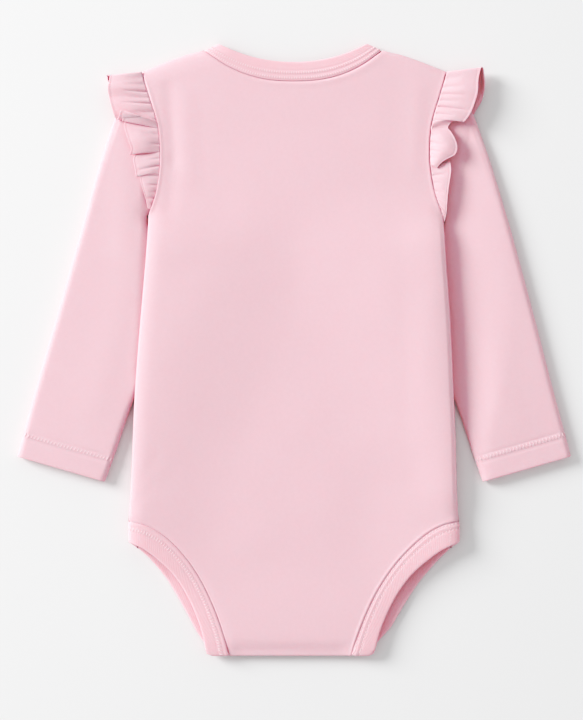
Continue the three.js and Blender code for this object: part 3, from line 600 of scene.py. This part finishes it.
# ---------------------------------------------------------------------------------------------
# Leg bands
# A strip of the same rib knit, folded double, round each leg hole: from the tail, over the
# crotch fold, up the back of the leg, round the side and down the front to the flap's end.
# ---------------------------------------------------------------------------------------------
back_leg_edge = Line([(58.8, CROTCH), (61.7, -200), (67.5, -184), (74.3, -170.5), (83, -157.9),
                      (93.3, -148), (104, -140), (115.8, -134.6)])
front_leg_edge = Line([(62.5, FLAP_END), (73, -187.9), (81.8, -172.8), (89.2, -161.6), (98.7, -150),
                       (107, -141.5), (115.8, -134.6)])
FOLD_STARTS = CROTCH + 1.95
LEFT_STITCH_PITCH, LEFT_STITCH_THICK = 2.1, 0.66
RIGHT_STITCH_PITCH, RIGHT_STITCH_THICK = 2.5, 0.86
JOIN_STATION = 56.0


def leg_strip(sign, seam, edge, face):
    away = 0.04 / np.hypot(*(edge - seam))
    half, y = blend(seam[:, None], edge[:, None], blend(away, 1, BAND_ACROSS))
    return placed(sign, half, y, band_height(half, y, face))


def leg_band(name, sign, shows, rows):
    strips = []
    shares = np.linspace(0, 0.93, 44)
    for share in shares:
        seam, edge = back_leg_seam.at(share), back_leg_edge.at(share)
        if share == 0:
            seam[1] = edge[1] = FOLD_STARTS
        strips.append(leg_strip(sign, seam, edge, "back"))
    steps = (6.5, 5.4, 4.3, 3.4, 2.6, 1.9, 1.4, 1.1)
    for step in steps:
        at = 115.8 - step
        strips.append(leg_strip(sign, back_leg_seam.where(0, at), back_leg_edge.where(0, at), "back"))
    at = 115.8 - 0.9
    strips.append(leg_strip(sign, back_leg_seam.where(0, at), back_leg_edge.where(0, at), "middle"))
    for step in steps[::-1]:
        at = 115.8 - step
        strips.append(leg_strip(sign, front_leg_seam.where(0, at), front_leg_edge.where(0, at), "front"))
    for share in shares[::-1]:
        seam, edge = front_leg_seam.at(share), front_leg_edge.at(share)
        beyond = min(1, (115.8 - edge[0]) / 20) * (shows - 1) * 8.6
        edge[0] += beyond * smooth((edge[1] - FLAP_END) / 15) - 2.4 * smooth((FLAP_END + 13 - edge[1]) / 13)
        strips.append(leg_strip(sign, seam, edge, "front"))
    # The outer corner at the crotch fold is a little rounded
    for strip, raised in zip(strips, (1.5, 1.45, 0.6, 0.1)):
        strip[:, 1] += raised * smooth((BAND_ACROSS - 0.62) / 0.38) ** 2
    bottom = strips[0]
    middle_tail = TAIL_FACE + 0.75
    wrapped = []
    for turn in np.linspace(0, np.pi, 9)[1:]:
        row = bottom.copy()
        row[:, 1] = bottom[:, 1] - 1.05 * np.sin(turn)
        row[:, 2] = middle_tail + (bottom[:, 2] - middle_tail) / 2 * (1 + np.cos(turn))
        wrapped.append(row)
    for run in (7, 15, 22, 30):
        row = wrapped[7].copy()
        row[:, 1] += run
        wrapped.append(row)
    middles = np.array(wrapped[::-1] + strips)
    points = band_faces(middles, BAND_CLOTH, 0.12, rows)
    piece = cloth_mesh(name, points.transpose(1, 0, 2))
    shape = bmesh.new()
    shape.from_mesh(piece.data)
    bmesh.ops.holes_fill(shape, edges=[edge for edge in shape.edges if edge.is_boundary])
    bmesh.ops.recalc_face_normals(shape, faces=shape.faces)
    if shape.calc_volume(signed=True) < 0:
        bmesh.ops.reverse_faces(shape, faces=shape.faces)
    shape.to_mesh(piece.data)
    shape.free()
    return piece, points


for word, sign, shows, rows in (
    ("left", -1, 0.86, [(0.1, -0.1), (0.2, 0.05), (0.46, 0.08)]),
    ("right", 1, 1.14, [(0.08, 0.3), (0.18, -0.16), (0.33, 0.26)]),
):
    band, band_points = leg_band(f"leg_band_{word}_rib", sign, shows, rows)
    dress(band, rib_knit, "band_cloth", f"leg_band_{word}")
    near, far = (band_column(across, sign < 0) for across in (0.2, 0.44))
    if sign < 0:
        # Left: cover stitches, whose slanted legs cross from one needle line to the other
        places = stitch_places(band_points, near, LEFT_STITCH_PITCH, first=0.02, last=0.98)
        sew("leg_band_left_stitches", "band_cloth", on_cloth(band_points, places, near),
            on_cloth(band_points, places + 0.45 * np.gradient(places), far), LEFT_STITCH_THICK)
    else:
        # Right: the same stitches pulled flat, seen as two dashed lines, and the strip's join
        for line_name, across in (("seam", 0.08), ("outer", 0.33)):
            column = band_column(across, False)
            places = stitch_places(band_points, column, RIGHT_STITCH_PITCH, first=0.02, last=0.98)
            beyond = places + 0.62 * np.gradient(places)
            sew(f"leg_band_right_stitches_{line_name}", "band_cloth",
                on_cloth(band_points, places, column), on_cloth(band_points, beyond, column),
                RIGHT_STITCH_THICK)
        across = np.arange(0.08, 0.8, 0.125)
        sew("leg_band_right_join", "band_cloth",
            on_cloth(band_points, JOIN_STATION, np.array([band_column(a, False) for a in across])),
            on_cloth(band_points, JOIN_STATION, np.array([band_column(a + 0.08, False) for a in across])))

# ---------------------------------------------------------------------------------------------
# Sleeves
# Each is one piece of the jersey, sewn into a tube along the inside of the arm and into the
# armhole. It lies flat beside the body, tucked under it lower down, and its cuff is a hem
# turned up inside by 16 mm.
# ---------------------------------------------------------------------------------------------
SLEEVE_THICK = 6.2
# How low each sleeve is pressed beside the body, and how far out from the body's side it is
# pressed down, at the heights y up the garment
PRESS_Y = [-60, -20, 20, 45, 60, 95, 112, 126, 150, 170]
LEFT_PRESS = (4.2, [0, 0, 1, 3, 4.5, 6, 5, 0, -8, -20])
RIGHT_PRESS = (2.5, [26, 38, 46, 46, 46, 46, 45, 44, 38, 10])
SLEEVE_CLOTH = 0.9
# Down the arm: the grooves beside the hem's ladder of stitches, and where its stitches end
HEM_GROOVES = (264.6, 269.2)
HEM_STITCH_ENDS = (264.9, 268.6)
HEM_STITCH_PITCH = 2.4
HEM_STITCH_THICK = 0.66
HEM_STITCH_PROUD = 0.16
RUFFLE_SPACE = 2.9
outer_fold = Line([(0, 1), (9.8, 3.6), (19.7, 6.8), (31, 8.8), (46, 10.2), (68, 11.2), (116, 11.3),
                   (180, 10.7), (242, 9.9), (283, 9.2)])


def beside_arm(half, y):
    dx, dy = half - SHOULDER_TIP[0], y - SHOULDER_TIP[1]
    return dx * SLEEVE_AXIS[0] + dy * SLEEVE_AXIS[1], dy * SLEEVE_AXIS[0] - dx * SLEEVE_AXIS[1]


def sleeve_faces(half, y, press):
    """Heights of the sleeve's outer faces, underneath and on top."""
    from_top = (SHOULDER_TIP[1] - y) / (SHOULDER_TIP[1] - 94)
    from_seam = armhole.distance(half, y)
    ruffle_wide = 27 * np.clip((1.02 - from_top) / 0.75, 0, 1) ** 0.7
    space = blend(1.6, RUFFLE_SPACE, smooth((y - 140) / 30))
    over_ruffle = space * smooth((ruffle_wide + 13 - from_seam) / 12)
    bottom = over_ruffle * blend(0.55, 1, smooth(from_seam / 9)) * smooth((0.99 - from_top) / 0.13)
    outside = half - side.where(1, np.clip(y, -134.6, 94))[..., 0]
    low, reaches = press
    reach = np.interp(y, PRESS_Y, reaches)
    pressed = smooth((reach - outside) / (3 + np.maximum(reach, 0) * 0.8))
    full = np.maximum(bottom + 2.6, SLEEVE_THICK)
    top = blend(5.2, full, smooth(from_seam / 13))
    return bottom, np.maximum(blend(top, low, pressed), bottom + 2.4)


# Creases of the sleeves: along the arm and across it, to the same, height and half width
LEFT_SLEEVE_CREASES = [(40, 0, 120, -20, 0.5, 10), (130, -30, 230, -34, 0.45, 13)]
RIGHT_SLEEVE_CREASES = [(50, 2, 130, -16, 0.4, 11), (150, -26, 250, -24, 0.4, 12)]


def sleeve(name, sign, creases, press):
    rows = []
    for share in np.linspace(0.96, 0.03, 42):
        point = armhole.at(share)
        tangent = armhole.at(min(1, share + 0.01)) - armhole.at(max(0, share - 0.01))
        tangent /= np.hypot(*tangent)
        along, across = beside_arm(point[0] + tangent[1] * 0.15, point[1] - tangent[0] * 0.15)
        rows.append((along, across, True, 0.0))
    down = inner_fold.at(np.linspace(0, 1, 90)[:-1])[:, 0]
    beside_hem = [264, 264.8, 265.4, 266, 266.6, 267.2, 267.8, 268.4, 269.2, 270.4]
    down = np.concatenate([down[down < 263], beside_hem, down[(down > 271.5) & (down < 281)]])
    for along, across in inner_fold.where(0, down):
        rows.append((along, across, False, 0.0))
    end = inner_fold.at(1.0)[1]
    for along, inset in ((282.2, 0), (282.75, 0.14), (283, 0.5), (283, 1.2), (282.7, 1.6),
                         (282.1, 1.85), (279, 1.9), (273, 1.9), (267, 1.9)):
        rows.append((along, end, False, inset))
    turns = np.linspace(0, 1, 9)
    grid = []
    for r, (along, across, is_open, inset) in enumerate(rows):
        outer = outer_fold.where(0, min(along, 283))[1]
        above, below = rows[max(r - 1, 0)], rows[min(r + 1, len(rows) - 1)]
        slope = 0 if is_open or along > 278 else (below[1] - above[1]) / (below[0] - above[0])

        def fold_in(end, sense):
            bottom, top = sleeve_faces(*sleeve_place(along, end), press)
            reach = (top - bottom) / 2
            depth = min(4.5, reach * reach / (0.6 * 1.4)) - inset
            step = inset + depth * (1 - np.cos(turns * np.pi / 2))
            return end + sense * step * (np.hypot(1, slope) if sense > 0 else 1)

        narrow = min(1, (outer - across) / 20)
        if is_open:
            near, near_turn = across + np.linspace(0, 4.5, 9) * narrow, np.ones(9)
        else:
            near, near_turn = fold_in(across, 1), turns
        far, far_turn = fold_in(outer, -1)[::-1], turns[::-1]
        between = np.linspace(near[-1], far[0], 24)[1:-1]
        at = np.concatenate([near, between, far])
        turn = np.concatenate([near_turn, np.ones(22), far_turn])
        half, y = sleeve_place(along, at)
        bottom, top = sleeve_faces(half, y, press)
        reach = ((top - bottom) / 2 - inset) * np.sin(turn * np.pi / 2)
        seam_in = armhole.distance(half, y)
        lay = soft_folds(np.full(at.shape, along), at, creases) * (turn >= 1) * smooth(seam_in / 9)
        hem = 0.34 * np.exp(-(((along - HEM_GROOVES[0]) / 0.55) ** 2))
        hem = hem + 0.3 * np.exp(-(((along - HEM_GROOVES[1]) / 0.6) ** 2))
        over = (bottom + top) / 2 + reach + (lay - hem * (turn >= 1)) * (inset == 0)
        under = (bottom + top) / 2 - reach
        grid.append(np.concatenate([
            placed(sign, half, y, over),
            placed(sign, half[::-1], y[::-1], under[::-1])[1:],
        ]))
    points = np.array(grid)
    piece = cloth_mesh(name, points, outward=True)
    give_wall(piece, SLEEVE_CLOTH)
    return piece, points, [row[0] for row in rows]


for word, sign, creases, press in (("left", -1, LEFT_SLEEVE_CREASES, LEFT_PRESS),
                                   ("right", 1, RIGHT_SLEEVE_CREASES, RIGHT_PRESS)):
    arm, arm_points, arm_rows = sleeve(f"sleeve_{word}_cloth", sign, creases, press)
    dress(arm, body_jersey, "body_cloth", f"sleeve_{word}")
    # The hem's ladder of cover stitches, all round the cuff
    around = arm_points.transpose(1, 0, 2)
    sleeve_end = arm_rows.index(282.2)
    above, below = np.interp(HEM_STITCH_ENDS, arm_rows[42:sleeve_end], np.arange(42, sleeve_end))
    places = stitch_places(around, above, HEM_STITCH_PITCH)
    starts = on_cloth(around, places, above)
    ends = on_cloth(around, places + 0.3 * np.gradient(places), below)
    for stitch in (starts, ends):
        stitch[:, 2] += HEM_STITCH_PROUD * np.where(stitch[:, 2] > 3, 1, -1)
    sew(f"sleeve_{word}_hem_stitches", "body_cloth", starts, ends, HEM_STITCH_THICK)

# ---------------------------------------------------------------------------------------------
# Ruffles
# A strip of thin jersey with a narrow rolled hem, gathered into each armhole seam and folded
# over the shoulder. Its back half falls in flutes over the sleeve, its front half lies beneath.
# ---------------------------------------------------------------------------------------------
RUFFLE_CLOTH = 0.8
ruffle_jersey = knit_cloth("thin light pink jersey", (0.945, 0.572, 0.632), wales=0.5, courses=0.45)

# From the shoulder down the back: distance along the seam, then the hem's x, y and z, and how
# far the cloth bellies up on its way to it
LEFT_BACK = [
    (0.5, -129.4, 191, 8.1, 0.8),
    (6, -129.9, 187.4, 8.8, 0.9),
    (13, -130.7, 183, 9.8, 1),
    (19, -130, 177, 9, 0.2),
    (25, -128.6, 171, 10, 0.8),
    (30, -126.8, 165.6, 9.8, 1),
    (33.5, -124.9, 160.9, 8.2, 1.3),
    (35, -122.9, 162.2, 10.4, 1.7),
    (36.5, -121.6, 166.2, 12.4, 1.9),
    (38, -120, 166.6, 12, 1.6),
    (39.5, -119.7, 162.6, 10.4, 1.2),
    (40.8, -120.6, 159.8, 9, 0.7),
    (41.6, -118.4, 160.6, 7.5, -0.6),
    (43, -119.6, 156.5, 8.2, 0.1),
    (47, -117.9, 150.6, 9.4, 1),
    (51, -116, 145, 10, 1.3),
    (54.5, -114.4, 140, 9.4, 1.2),
    (57, -115.2, 136.4, 8.4, 0.8),
    (57.8, -110.8, 138.4, 6.8, -0.8),
    (60, -113, 133.4, 7.8, -0.2),
    (65, -112.2, 128, 8.4, 0.5),
    (71, -110.6, 121, 8.6, 0.6),
    (74, -108.7, 122.4, 7.8, 0.2),
    (78, -108, 118.4, 7.8, 0.4),
    (84, -106.3, 112, 8.2, 0.5),
    (91, -104.2, 105.6, 7.4, 0.3),
    (99, -102.5, 98.8, 6.4, 0.1),
]
RIGHT_BACK = [
    (0.5, 129.8, 196.4, 9.6, 0.6),
    (7, 128, 188.6, 10.6, 0.7),
    (14, 127.5, 180, 11.2, 1.0),
    (20, 125.6, 172.8, 10.8, 0.5),
    (26, 123, 166, 10.4, 0.8),
    (31, 120, 161.2, 10.2, 1.1),
    (34, 117.6, 159, 10, 1.4),
    (36.5, 114.4, 161, 9.8, 0.8),
    (38.5, 111.2, 160.6, 8.6, 0),
    (40.5, 107.8, 157.4, 7.2, -0.6),
    (42, 107, 154.6, 7.2, -0.6),
    (43.5, 108.9, 152, 8.4, 0.3),
    (46.5, 111.6, 147, 9.8, 1.5),
    (50, 113.2, 141.6, 10.4, 1.9),
    (54, 112, 136.4, 10.2, 1.9),
    (57.5, 108.4, 134.2, 9.8, 1.6),
    (61.5, 103.2, 131.4, 9.8, 1.0),
    (66, 99.2, 127.2, 8.8, 0.6),
    (68, 102.4, 128.6, 7.2, -0.8),
    (70, 107.8, 131.6, 7.6, -0.4),
    (73, 109, 126, 8.4, 0.2),
    (78, 108.1, 118.6, 9.2, 0.4),
    (84, 106.9, 110.6, 9.2, 0.4),
    (90, 106.2, 103, 8.8, 0.3),
    (96, 105.8, 96.4, 7.6, 0.2),
    (102, 104.4, 89.4, 6.8, 0),
]
# The front half: distance along the seam, how far out from it the hem lies, and its height
LEFT_FRONT = [(2, 25.2, 7.6), (7, 25.8, 6.4), (13, 25.2, 3.6), (20, 25.4, 1.8), (32, 23, 0.8),
              (44, 21, 1.3), (55, 17, 0.6), (66, 12.5, 1.1), (76, 7.5, 0.6), (86, 2.4, 0.8)]
RIGHT_FRONT = [(2, 26.6, 8.0), (8, 29.0, 7.2), (18, 30.4, 5.0), (27, 28, 2.4), (44, 21, 1.3),
               (55, 17, 0.6), (66, 12.5, 1.1), (76, 7.5, 0.6), (86, 2.4, 0.8)]
# Gathers at the seam: distance along it, depth, half width, and how far out they reach
LEFT_GATHERS = [(4.5, 0.6, 1.6, 0.5), (9.5, 0.7, 1.3, 0.6), (14.7, 1.5, 0.8, 0.62), (19.3, 0.7, 1.2, 0.5),
                (23.3, 1.6, 0.8, 0.74), (29.6, 1.3, 1.6, 0.55), (35, 0.8, 1.0, 0.4), (46, 0.9, 1.6, 0.55),
                (52.2, 1.0, 0.9, 0.35), (62.5, 0.6, 0.9, 0.5), (67.3, 1.3, 0.7, 0.95), (74.6, 0.9, 1.0, 0.8),
                (81.3, 1.0, 0.8, 0.7), (86, 0.6, 0.8, 0.6), (90.5, 1.1, 0.7, 0.9), (95, 0.5, 0.8, 0.7)]
RIGHT_GATHERS = [(5.5, 0.8, 1.5, 0.5), (11.5, 0.9, 1.2, 0.6), (16.5, 1.2, 0.9, 0.7), (21, 1.1, 1.0, 0.55),
                 (25.5, 1.9, 0.8, 0.95), (30.5, 1.3, 1.0, 0.6), (35.5, 0.8, 1.0, 0.4), (41, 0.9, 1.2, 0.5),
                 (46, 0.7, 1.0, 0.4), (51, 1.1, 1.1, 0.6), (56.5, 0.9, 1.0, 0.5), (61.5, 0.8, 1.0, 0.6),
                 (66, 0.7, 0.8, 0.5), (75, 0.8, 0.9, 0.8), (80, 0.6, 0.8, 0.6), (85.5, 0.9, 0.8, 0.8),
                 (91, 0.6, 0.8, 0.9), (96, 0.5, 0.8, 0.9)]


def ruffle(name, sign, back, front, gathers, root_z, rise):
    stations = []
    for seam, x, y, z, belly in back[::-1]:
        root = armhole.at(1 - min(seam / armhole.length, 1))
        start = placed(sign, root[0] + 0.08, root[1], root_z)
        stations.append(np.concatenate([start, (x, y, z), (belly, seam)]))
    top_x, top_y = back[0][1:3]
    for turn in np.radians([62, 30, 0, -30, -62]):
        low_root = blend(0.9, 5.8, (1 + np.sin(turn)) / 2)
        z = blend(front[0][2], back[0][3] - 0.4, (1 + np.sin(turn)) / 2)
        tip_y = SHOULDER_TIP[1] - 0.5 - 3 * (1 - np.cos(turn))
        start = placed(sign, SHOULDER_TIP[0] + 0.15, tip_y, low_root)
        out = sign * 0.9 * (1 - np.sin(turn))
        hem = (top_x + out, top_y + 0.9 * np.cos(turn) - 0.2, z)
        stations.append(np.concatenate([start, hem, (0.4, 0)]))
    for seam, out, z in front:
        root = armhole.at(1 - min(seam / armhole.length, 1))
        start = placed(sign, root[0] + 0.2, root[1], 0.75)
        hem = placed(sign, root[0] + out * 0.985, root[1] - out * blend(0.03, 0.16, smooth(seam / 60)), z)
        stations.append(np.concatenate([start, hem, (0, -seam)]))
    strip = Line(np.array(stations)[:, :6], 10)
    facts = np.array(stations)
    count = len(stations)
    spread = np.linspace(0, count - 1, (count - 1) * 10 + 1)
    belly = np.interp(spread, np.arange(count), facts[:, 6])
    seam = np.interp(spread, np.arange(count), facts[:, 7])
    v = np.concatenate([np.linspace(0, 0.9, 17), [0.93, 0.955, 0.975, 0.99, 1.0]])
    root, hem = strip.points[:, None, :3], strip.points[:, None, 3:6]
    points = root + (hem - root) * v[None, :, None]
    lift = (v**rise - v)[None, :] * (hem[..., 2] - root[..., 2])
    lift = lift + belly[:, None] * np.sin(np.pi * v)[None, :] ** 1.2
    for at, depth, wide, reach in gathers:
        gather = depth * np.exp(-(((seam - at) / wide) ** 2))[:, None]
        lift = lift - gather * (np.clip(1 - v / reach, 0, 1) ** 0.7 * smooth(v / 0.05 + 0.35))[None, :]
    hem_roll = 0.12 * np.exp(-(((v - 0.985) / 0.02) ** 2)) - 0.12 * np.exp(-(((v - 0.93) / 0.015) ** 2))
    # The front half curls up at its hem near the shoulder, which opens the ruffle's tip
    curl = 3.4 * smooth((v - 0.5) / 0.36) * (1 - smooth((v - 0.92) / 0.08))
    lift = lift - curl[None, :] * (smooth((0.6 - seam) / 1.2) * smooth((19 + seam) / 12))[:, None]
    points[..., 2] += lift + hem_roll[None, :] * np.sign(seam + 0.1)[:, None]
    piece = cloth_mesh(name, points, face_up=None)
    give_wall(piece, RUFFLE_CLOTH, offset=0.0)
    return piece


for word, sign, back, front, gathers, root_z, rise in (
    ("left", -1, LEFT_BACK, LEFT_FRONT, LEFT_GATHERS, 6.0, 0.85),
    ("right", 1, RIGHT_BACK, RIGHT_FRONT, RIGHT_GATHERS, 7.5, 0.8),
):
    frill = ruffle(f"ruffle_{word}_cloth", sign, back, front, gathers, root_z, rise)
    dress(frill, ruffle_jersey, "ruffle_cloth", f"ruffle_{word}")

# ---------------------------------------------------------------------------------------------
# Snaps
# Three pink moulded caps in a row on the front flap, each pressed through it into a socket.
# ---------------------------------------------------------------------------------------------
snap_plastic = speckled("pink moulded snap", (0.84, 0.5, 0.57), (0.88, 0.56, 0.63), 300.0, 0.35)
for number in (1, 2, 3):
    low, high = (Vector(corner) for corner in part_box(f"snap_cap_{number}"))
    centre = (low + high) / 2
    shape = bmesh.new()
    profile = [(0, 0.35), (3.0, 0.35), (3.3, 0.12), (3.7, 0.0), (4.3, 0.02), (4.65, 0.25), (4.8, 0.6),
               (4.55, 1.0), (0, 1.0)]
    ring_verts = [shape.verts.new((x * MM, 0, z * MM)) for x, z in profile]
    ring_edges = [shape.edges.new(pair) for pair in zip(ring_verts[:-1], ring_verts[1:])]
    bmesh.ops.spin(shape, geom=ring_verts + ring_edges, cent=(0, 0, 0), axis=(0, 0, 1),
                   angle=2 * np.pi, steps=36, use_merge=True)
    bmesh.ops.remove_doubles(shape, verts=shape.verts, dist=1e-6)
    bmesh.ops.recalc_face_normals(shape, faces=shape.faces)
    bmesh.ops.translate(shape, verts=shape.verts, vec=(centre.x, centre.y, low.z))
    mesh = bpy.data.meshes.new(f"snap_{number}")
    shape.to_mesh(mesh)
    shape.free()
    mesh.shade_smooth()
    snap = bpy.data.objects.new(f"snap_{number}_cap", mesh)
    bpy.context.collection.objects.link(snap)
    dress(snap, snap_plastic, "snap", f"snap_cap_{number}")

# ---------------------------------------------------------------------------------------------
# The surface, the light and the camera
# A plain pale surface, soft daylight all round and a large soft light low on the upper left.
# ---------------------------------------------------------------------------------------------
floor_finish = speckled("pale surface", (0.815, 0.815, 0.82), (0.845, 0.845, 0.845), 5.0, 0.8)
floor_shape = bmesh.new()
bmesh.ops.create_grid(floor_shape, x_segments=4, y_segments=4, size=2.5)
floor_mesh = bpy.data.meshes.new("floor")
floor_shape.to_mesh(floor_mesh)
floor_shape.free()
floor = bpy.data.objects.new("floor", floor_mesh)
bpy.context.collection.objects.link(floor)
floor.data.materials.append(floor_finish)
floor.location.z = -0.0004

world = bpy.data.worlds.new("soft daylight")
world.use_nodes = True
bpy.context.scene.world = world
world.node_tree.nodes["Background"].inputs["Color"].default_value = (1.0, 1.0, 1.0, 1)
world.node_tree.nodes["Background"].inputs["Strength"].default_value = 0.553


def soft_light(name, place, aim, wide, power, colour=(1, 1, 1)):
    lamp = bpy.data.lights.new(name, "AREA")
    lamp.shape = "DISK"
    lamp.size = wide
    lamp.energy = power
    lamp.color = colour
    light = bpy.data.objects.new(name, lamp)
    light.location = place
    light.rotation_euler = (Vector(aim) - Vector(place)).to_track_quat("-Z", "Y").to_euler()
    bpy.context.collection.objects.link(light)


soft_light("window", (-3.6, 1.75, 1.75), (0, 0, 0), 2.0, 204)

camera_data = bpy.data.cameras.new("camera")
camera_data.lens = 92
camera_data.sensor_width = 36
camera = bpy.data.objects.new("camera", camera_data)
camera.location = (-0.00245, -0.00735, 0.006 + 0.504 * 92 / 36)
camera.rotation_euler = (0, 0, 0)
bpy.context.collection.objects.link(camera)
bpy.context.scene.camera = camera
view = bpy.context.scene.view_settings
view.view_transform = "Standard"
view.look = "None"
# The picture's bright end rolls off softly, as a camera's does
view.use_curve_mapping = True
tone_curve = view.curve_mapping.curves[3]
for x, y in ((0.1, 0.065), (0.18, 0.134), (0.25, 0.242), (0.32, 0.375), (0.4, 0.49), (0.55, 0.66),
             (0.75, 0.846), (0.9, 0.955)):
    tone_curve.points.new(x, y)
view.curve_mapping.update()
